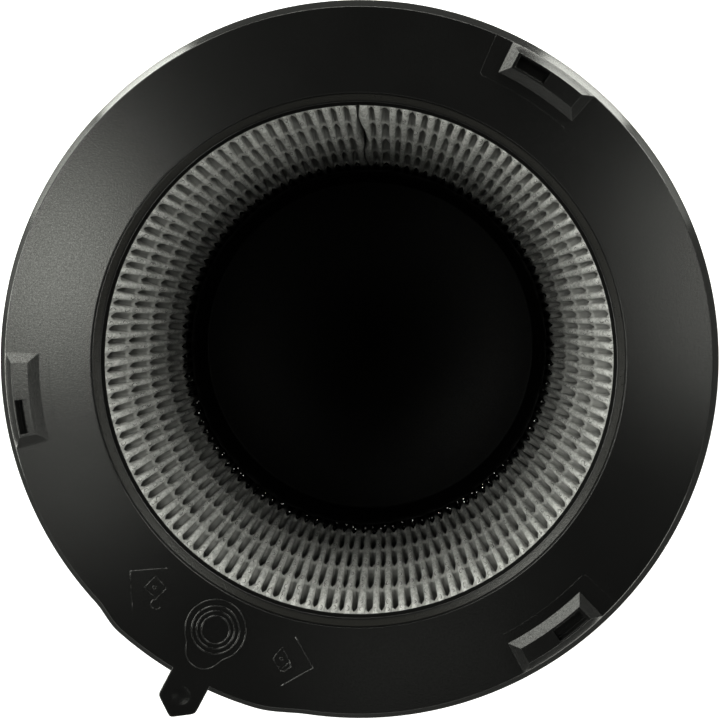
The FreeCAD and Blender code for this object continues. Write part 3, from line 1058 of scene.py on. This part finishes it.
def bead_row(name, node, height, below, above, deep, outer=False, wobble=0.35):
    """A whole row of beads."""
    points, faces = [], []
    count = 0
    for number in range(pleat_count if outer else pleat_count - 1):
        level = height + random.normal(0.0, wobble)
        down = max(1.5, below + random.normal(0.0, wobble * 1.6))
        up = max(1.0, above + random.normal(0.0, wobble * 1.6))
        reach_in = deep + random.normal(0.0, 0.5)
        if outer:
            walls = outer_walls(number, level)
            loop = bead_points(*walls, level, down, up, reach_in, pack_radius - 0.1, -1, 0.4)
        else:
            walls = channel_walls(number, level)
            loop = bead_points(*walls, level, down, up, reach_in, tip_radius, 1)
        points.append(loop.reshape(-1, 3))
        faces += bead_faces(count)
        count += loop.shape[0] * loop.shape[1]
    points = np.concatenate(points)
    points[:, 2] = np.clip(points[:, 2], pack_low + 0.05, pack_high - 0.02)
    piece = make_piece(name, points, faces, glue)
    point_outwards(piece)
    return settle(piece, node)


# %% All the rows
bead_below, bead_above, bead_deep = 5.2, 1.7, 8.5
bead_row("end_beads", "bore_beads_1", end_bead_low + 0.5, bead_below * 0.7, 4.0, bead_deep, wobble=0.25)
for row, height in enumerate(row_heights, 1):
    node = "bore_beads_%d" % (row + 1)
    bead_row("bore_row_%d" % row, node, height, bead_below, bead_above, bead_deep)
for row in (1, 2, 3):
    node = "outer_beads_%d" % row
    height = sum(reach(node)[1:]) / 2.0
    bead_row("outer_row_%d" % row, node, height, 2.4, 2.4, 6.0, outer=True)

# %% [markdown]
# ## Painted shadows of creases in the tips
# Where a glue row pulls at a fold, the flat of its tip is dented. Modelling each dent in the sheet
# would need a far finer sheet, so the dent's shadow is painted instead: a thin dark crescent laid on
# the tip that follows its curve. Most tips have one at each row.

# %% Painted shadows of small creases in the tips


def crease_shadow_solid(number, height, wide, tall, side):
    """Thin crescent of painted shadow that lies on a tip, open to one side."""
    half_mm = math.radians(float(tip_half(number, height))) * tip_radius
    shape_across = [abs(across) for across, _ in tip_shape[len(tip_shape) // 2:]]
    shape_back = [back for _, back in tip_shape[len(tip_shape) // 2:]]
    turns = np.radians(np.linspace(-105.0, 105.0, 9))
    grid = []
    for turn in turns:
        thin = 0.25 + 0.75 * math.cos(turn * 0.8)
        loop = []
        for share, lift in ((1.0, -0.05), (1.0, 0.04), (1.0 - 0.3 * thin, 0.04), (1.0 - 0.3 * thin, -0.05)):
            across = side * wide * share * math.cos(turn)
            level = height + tall * share * math.sin(turn)
            back = np.interp(min(1.0, abs(across) / half_mm), shape_across, shape_back)
            middle = float(tip_middle(number, level))
            loop.append(polar(tip_radius + back - lift, middle + math.degrees(across / tip_radius), level))
        grid.append(loop)
    grid = np.array(grid).reshape(-1, 3)
    faces = list(grid_faces(len(turns), 4, False, True))
    last = (len(turns) - 1) * 4
    return grid, faces + [(3, 2, 1, 0), (last, last + 1, last + 2, last + 3)]


def tip_crease_shadows():
    """One crescent of painted shadow on most tips at each glue row, and a few between the rows."""
    source = np.random.default_rng(31)
    all_points, all_faces, count = [], [], 0
    for number in range(1, pleat_count - 1):
        levels_here = [row - 1.5 + source.normal(0.0, 1.0)
                       for row in row_heights if source.uniform() < 0.85]
        levels_here += [pack_high - 4.0 + source.normal(0.0, 0.8)]
        levels_here += list(source.uniform(row_heights[-1], pack_high - 8.0, 3))
        for level in levels_here:
            solid = crease_shadow_solid(number, level, source.uniform(0.45, 0.8), source.uniform(1.4, 2.6),
                                 source.choice([-1.0, 1.0]))
            all_points.append(solid[0])
            all_faces += [tuple(count + i for i in face_line) for face_line in solid[1]]
            count += len(solid[0])
    # The crescents are painted shadow: dark paper where a dent would lie in its own shade.
    piece = make_piece("tip_crease_shadows", np.concatenate(all_points), all_faces, painted_shade, smooth=False)
    point_outwards(piece)
    return settle(piece, None)


tip_crease_shadows()

# %% Glue in the seam, dark as painted shade in the crack


def seam_strip():
    """Strip of glue between the two ends of the sheet, well behind the tips, dark as painted shade in the
    crack.
    """
    grid = []
    for height in levels:
        first = tip_edges(0, height)[0]
        last = tip_edges(pleat_count - 1, height)[1] - 360.0
        loop = []
        for radius in (101.0, 104.0, 108.0, pack_radius - sheet - 0.4):
            loop.append((wall_angle(last, seam_angle - fold_inside, radius) - 0.05, radius))
        for radius in (pack_radius - sheet - 0.4, 108.0, 104.0, 101.0):
            loop.append((wall_angle(first, seam_angle + fold_inside, radius) + 0.05, radius))
        loop = np.array(loop)
        grid.append(polar(loop[:, 1], loop[:, 0], height))
    return np.array(grid)


strip = seam_strip()
faces = list(grid_faces(strip.shape[0], strip.shape[1], False, True))
around = strip.shape[1]
faces += [tuple(range(around)), tuple(range((len(levels) - 1) * around, len(levels) * around))]
# The strip takes the dark paper finish: painted shade that makes the crack look black.
seam_piece = make_piece("seam_strip", strip, faces, painted_shade, smooth=False)
point_outwards(seam_piece)
settle(seam_piece, "seam_glue")

# %% [markdown]
# ## Black glue and the cap
# At the far end the pleats stand in black glue. Where it was squeezed up past the collar it makes a
# lumpy edge, and some has run up the channels, so the last gaps end in black. Small drops on it
# flash in the lamps: they have a pale mirror colour, a painted glint, since black glue would not
# flash this brightly. A round drop would show only a faint point, so each drop has a few flat
# sides, like a cut stone, and one of them is turned up towards a lamp. The cap itself is a plain
# turned dish, so it is drawn as a profile.

# %% Turned pieces


def turned(name, profile, material, steps=240, wave=None):
    """Closed profile of radius and height pairs, turned about the axis."""
    profile = np.array(profile, dtype=float)
    turns = np.linspace(0.0, 360.0, steps, endpoint=False)
    grid = np.array([polar(profile[:, 0], turn, profile[:, 1]) for turn in turns])
    if wave is not None:
        grid = wave(grid, turns)
    piece = make_piece(name, grid, grid_faces(steps, len(profile), True, True), material)
    point_outwards(piece)
    return piece


def ring_profile(inner, outer, low, high, edge=0.15):
    """Square section with its edges taken off."""
    return [(inner + edge, low), (outer - edge, low), (outer, low + edge), (outer, high - edge),
            (outer - edge, high), (inner + edge, high), (inner, high - edge), (inner, low + edge)]


collar_inner, collar_outer = 85.2, 86.7
top_glue_radius, top_glue_low, top_glue_high = reach("top_glue")
upper_profile = ring_profile(tip_radius + 0.05, top_glue_radius, top_glue_low, top_glue_high)
settle(turned("upper_glue", upper_profile, cap_plastic), "top_glue")
lower_profile = ring_profile(collar_outer, glue_radius, glue_low, glue_high)
settle(turned("lower_glue", lower_profile, potting), "bottom_glue")

# %% Lumpy edge of glue on the collar


def lumps(turns, seed, scale):
    """Smooth random heights round the ring, from a few sine waves."""
    source = np.random.default_rng(seed)
    total = np.zeros_like(turns)
    for waves_round in (7, 13, 23, 41, 67, 97):
        size = source.normal(0.0, 1.0)
        total += size * np.sin(np.radians(turns) * waves_round + source.uniform(0.0, 6.28))
    return scale * total / 2.4


def lumpy(grid, turns):
    """Raises and swells the crest of the glue edge unevenly."""
    rise = np.maximum(lumps(turns, 3, 1.0) + 0.6, -0.3)
    crest = np.array([0.0, 0.0, 0.35, 1.0, 1.0, 0.5, 0.1])
    grid[:, :, 2] += rise[:, None] * crest[None, :]
    swell = 1.0 - lumps(turns, 5, 0.25)[:, None] * crest[None, :] / 87.0
    grid[:, :, :2] *= swell[:, :, None]
    return grid


edge_profile = [(collar_inner + 0.1, collar_top - 1.2), (collar_inner - 0.15, collar_top - 0.2),
                (collar_inner + 0.2, collar_top + 0.8), (tip_radius - 0.7, seal_high - 0.3),
                (tip_radius - 0.05, seal_high + 0.2), (tip_radius + 0.5, seal_high - 0.6),
                (tip_radius + 0.3, collar_top - 1.2)]
settle(turned("glue_edge", edge_profile, cap_plastic, 720, lumpy), "collar_seal")

# %% Glue that has run up the channels
underside = [0, 6, 7, 8]        # points of a bead's loop that look down


def channel_glue():
    """A black bead at the foot of each channel, with its underside drawn down to the pleats' end."""
    points, faces = [], []
    count = 0
    source = np.random.default_rng(11)
    for number in range(pleat_count - 1):
        top = seal_high + 1.5 + abs(source.normal(0.0, 2.6))
        walls = channel_walls(number, top)
        loop = bead_points(*walls, top - 0.45, 1.5, 1.2, 10.0, tip_radius + 0.35, 1)
        loop[:, underside, 2] = pack_low + 0.1
        points.append(loop.reshape(-1, 3))
        faces += bead_faces(count)
        count += loop.shape[0] * loop.shape[1]
    piece = make_piece("channel_glue", np.concatenate(points), faces, potting)
    point_outwards(piece)
    return settle(piece, None)


channel_glue()

# %% Drops that flash in the light
drop_sides = 5
drop_angles = (150.0, 195.0, 205.0, 235.0, 248.0, 262.0, 300.0, 355.0)
drop_odds = (0.0, 0.3, 0.9, 0.9, 0.35, 0.8, 0.8, 0.1)


def drop_solid(centre, radius, flat, facing):
    """Small drop with a few flat sides, one of which looks up towards a lamp."""
    tilt = np.linspace(0.0, math.pi, 6)[1:-1]
    turns = facing + math.pi / drop_sides + np.linspace(0.0, 2.0 * math.pi, drop_sides, endpoint=False)
    grid = np.array([[(math.sin(t) * math.cos(a) * radius, math.sin(t) * math.sin(a) * radius,
                       math.cos(t) * radius * flat) for a in turns] for t in tilt])
    points = np.concatenate([grid.reshape(-1, 3), [[0, 0, radius * flat], [0, 0, -radius * flat]]]) + centre
    faces = list(grid_faces(len(tilt), len(turns), False, True))
    top, bottom = len(points) - 2, len(points) - 1
    last = (len(tilt) - 1) * len(turns)
    for i in range(len(turns)):
        faces.append((top, (i + 1) % len(turns), i))
        faces.append((bottom, last + i, last + (i + 1) % len(turns)))
    return points, [tuple(f) for f in faces]


def painted_glint_drops():
    """Small glue drops with a pale mirror colour, a painted glint: they look pale wherever a lamp is
    mirrored in them.
    """
    material, tree, shader, place = new_material("painted_glint_drops", 0.1, 1.0)
    # The pale metal colour is a painted glint; the glue itself is black, and the flash is the lamps
    # mirrored in it.
    shader.inputs["Metallic"].default_value = 0.9
    cloud = noise(tree, place, 900.0, 1.0)
    share = remap(tree, cloud, 0.3, 0.5, 0.0, 1.0)
    set_colour(tree, shader, blend_colours(tree, share, (0.3, 0.3, 0.3), (0.97, 0.97, 0.97)))
    return material


def glue_glint_drops():
    """One or two glint drops at the foot of most gaps, more of them on the side that the lamps reach."""
    source = np.random.default_rng(23)
    points, faces = np.zeros((0, 3)), []
    for number in range(2 * pleat_count):
        gap = (seam_angle + number // 2 * pitch) % 360.0
        if source.uniform() > np.interp(gap, drop_angles, drop_odds):
            continue
        size = source.uniform(0.35, 0.65)
        level = seal_high + source.uniform(2.0, 10.5)
        centre = polar(tip_radius - 0.1 * size, gap + source.normal(0.0, 0.35), level)
        facing = math.radians(50.0 if gap < 262.0 else 132.0) + source.normal(0.0, 0.08)
        points, faces = add_solid(points, faces, drop_solid(centre, size, source.uniform(1.3, 1.7), facing))
    piece = make_piece("glue_glint_drops", points, faces, painted_glint_drops(), smooth=False)
    return settle(piece, None)


glue_glint_drops()

# %% The closed cap
foot_inner = cap_radius - 30.0
wall_inner = 115.6
floor_top = glue_low
cap_profile = [
    (0.02, 0.8), (foot_inner - 0.4, 0.8), (foot_inner, 0.4), (foot_inner + 0.3, 0.0),
    (cap_radius - 1.4, 0.0), (cap_radius - 0.5, 0.25), (cap_radius - 0.1, 0.9), (cap_radius, 1.6),
    (cap_radius, cap_high - 0.3), (cap_radius - 0.3, cap_high), (wall_inner + 0.3, cap_high),
    (wall_inner, cap_high - 0.3), (wall_inner, floor_top), (collar_outer, floor_top),
    (collar_outer, collar_top - 0.25), (86.45, collar_top), (85.45, collar_top),
    (collar_inner, collar_top - 0.25), (collar_inner, floor_top + 1.2), (84.9, floor_top + 0.35),
    (84.0, floor_top), (0.02, floor_top),
]
settle(turned("closed_cap", cap_profile, cap_plastic), "bottom_cap")

# %% [markdown]
# ## Camera
# The photo was taken from close by, straight down the axis: the far end of the bore looks much
# smaller than the near end, and its centre has moved up and to the right, so the camera stood a
# little off the axis and the picture was framed with a shift. The camera here stands at the same
# place and keeps the same shift.

# %% Place the camera
camera_height = 270.0           # above the face
camera_x, camera_y = 10.9, 14.6
sensor = 36.0
picture_side = 720.0
focal_points = camera_height / face_scale

camera_data = bpy.data.cameras.new("camera")
camera_data.sensor_width = sensor
camera_data.lens = focal_points / picture_side * sensor
camera_data.shift_x = -31.0 / picture_side
camera_data.shift_y = -43.0 / picture_side
camera_data.clip_start = 0.01
camera = bpy.data.objects.new("camera", camera_data)
camera.location = (camera_x * MM, camera_y * MM, (face + camera_height) * MM)
bpy.context.scene.collection.objects.link(camera)
bpy.context.scene.camera = camera
print("lens %.1f mm" % camera_data.lens)

# %% [markdown]
# ## Light and background
# The photo has a pure white background, yet the black plastic shows only two soft reflections: a wide
# one on the left and a weaker one on the right. Panels high up at the sides make them. Panels
# low around the object shine across the bore, so the paper is bright at the mouth and fades with depth.
# Two more, half way up, are there for the sloping lip of the bore, which mirrors them. Upright cards
# close to the rim's top edge, below the level of the face, give the sloping rim its bright line.
# The white of the floor and the surroundings is seen by the camera alone and adds no light.

# %% Lamps round the object
lamp_distance = 0.9
lamp_centre = Vector((0.0, 0.0, 0.15))
lamp_colour = (0.985, 1.0, 0.92)


def area_lamp(name, place, outward, width, height, watts):
    """Rectangular lamp that looks back along a direction; sizes in metres."""
    data = bpy.data.lights.new(name, "AREA")
    data.shape = "RECTANGLE"
    data.size, data.size_y = width, height
    data.energy = watts
    data.color = lamp_colour
    lamp = bpy.data.objects.new(name, data)
    lamp.location = place
    lamp.rotation_euler = (-outward).to_track_quat("-Z", "Y").to_euler()
    bpy.context.scene.collection.objects.link(lamp)
    return lamp


def panel(name, azimuth, elevation, width, watts, height=11.0):
    """Soft rectangular panel that faces the filter; its width and height are in degrees."""
    turn, climb = math.radians(azimuth), math.radians(elevation)
    level = math.cos(climb)
    outward = Vector((level * math.cos(turn), level * math.sin(turn), math.sin(climb)))
    across, up = lamp_distance * level * math.radians(width), lamp_distance * math.radians(height)
    return area_lamp(name, lamp_centre + lamp_distance * outward, outward, across, up, watts)


def edge_card(name, azimuth, watts):
    """Upright glowing card close to the rim, below the level of the face."""
    turn = math.radians(azimuth)
    outward = Vector((math.cos(turn), math.sin(turn), 0.0))
    card = area_lamp(name, 0.275 * outward + Vector((0.0, 0.0, 0.072)), outward, 0.085, 0.14, watts)
    card.visible_camera = False
    return card


panel("left_high", 167.0, 59.2, 45.0, 0.45)
panel("left_narrow", 170.0, 62.2, 26.0, 0.35)
panel("left_high_edge", 205.0, 60.5, 20.0, 0.08)
panel("right_high", 8.5, 59.2, 40.0, 0.355)
panel("bottom_high", 275.0, 62.0, 40.0, 0.034)
panel("lip_light_left", 137.0, 39.0, 24.0, 0.68, 16.0)
panel("lip_light_right", 45.0, 39.0, 24.0, 0.43, 16.0)
low_watts = [0.50, 1.67, 0.02, 1.32, 1.88, 0.63, 0.28, 1.13]
horizon_watts = [0.02, 2.34, 1.57, 1.28, 2.61, 0.10, 0.22, 1.29]
for step in range(8):
    panel("low_%d" % step, 45.0 * step, 22.0, 40.0, low_watts[step])
    panel("horizon_%d" % step, 45.0 * step, 7.0, 40.0, horizon_watts[step], 9.0)
for azimuth, watts in ((30, 0.021), (50, 0.145), (130, 0.198), (150, 0.06), (165, 0.013)):
    edge_card("edge_card_%d" % azimuth, azimuth, watts)
lamps = [item for item in bpy.context.scene.objects if item.type == "LIGHT"]
print("lamps:", len(lamps), "watts in all:", round(sum(lamp.data.energy for lamp in lamps), 2))

# %% Floor and surroundings
floor_mesh = bpy.data.meshes.new("floor")
half_floor, floor_height = 15.0, -0.0005
corners = [(x * half_floor, y * half_floor, floor_height) for x, y in ((-1, -1), (1, -1), (1, 1), (-1, 1))]
floor_mesh.from_pydata(corners, [], [(0, 1, 2, 3)])
floor = bpy.data.objects.new("floor", floor_mesh)
bpy.context.scene.collection.objects.link(floor)


def floor_finish():
    """Pale floor that looks white to the camera and still takes a shadow."""
    material, tree, shader, _ = new_material("pale_floor", 0.9)
    shader.inputs["Emission Color"].default_value = (1.0, 1.0, 1.0, 1.0)
    path = tree.nodes.new("ShaderNodeLightPath")
    seen = path.outputs["Is Camera Ray"]
    set_colour(tree, shader, blend_colours(tree, seen, (0.05, 0.05, 0.05), (0.8, 0.8, 0.8)))
    tree.links.new(product(tree, seen, 0.85), shader.inputs["Emission Strength"])
    return material


floor_mesh.materials.append(floor_finish())

world = bpy.data.worlds.new("surroundings")
bpy.context.scene.world = world
world.use_nodes = True
world_tree = world.node_tree
sky = world_tree.nodes["Background"]
sky.inputs["Color"].default_value = (1.0, 1.0, 1.0, 1.0)
ray = world_tree.nodes.new("ShaderNodeLightPath")
world_tree.links.new(ray.outputs["Is Camera Ray"], sky.inputs["Strength"])

bpy.context.scene.view_settings.view_transform = "Standard"
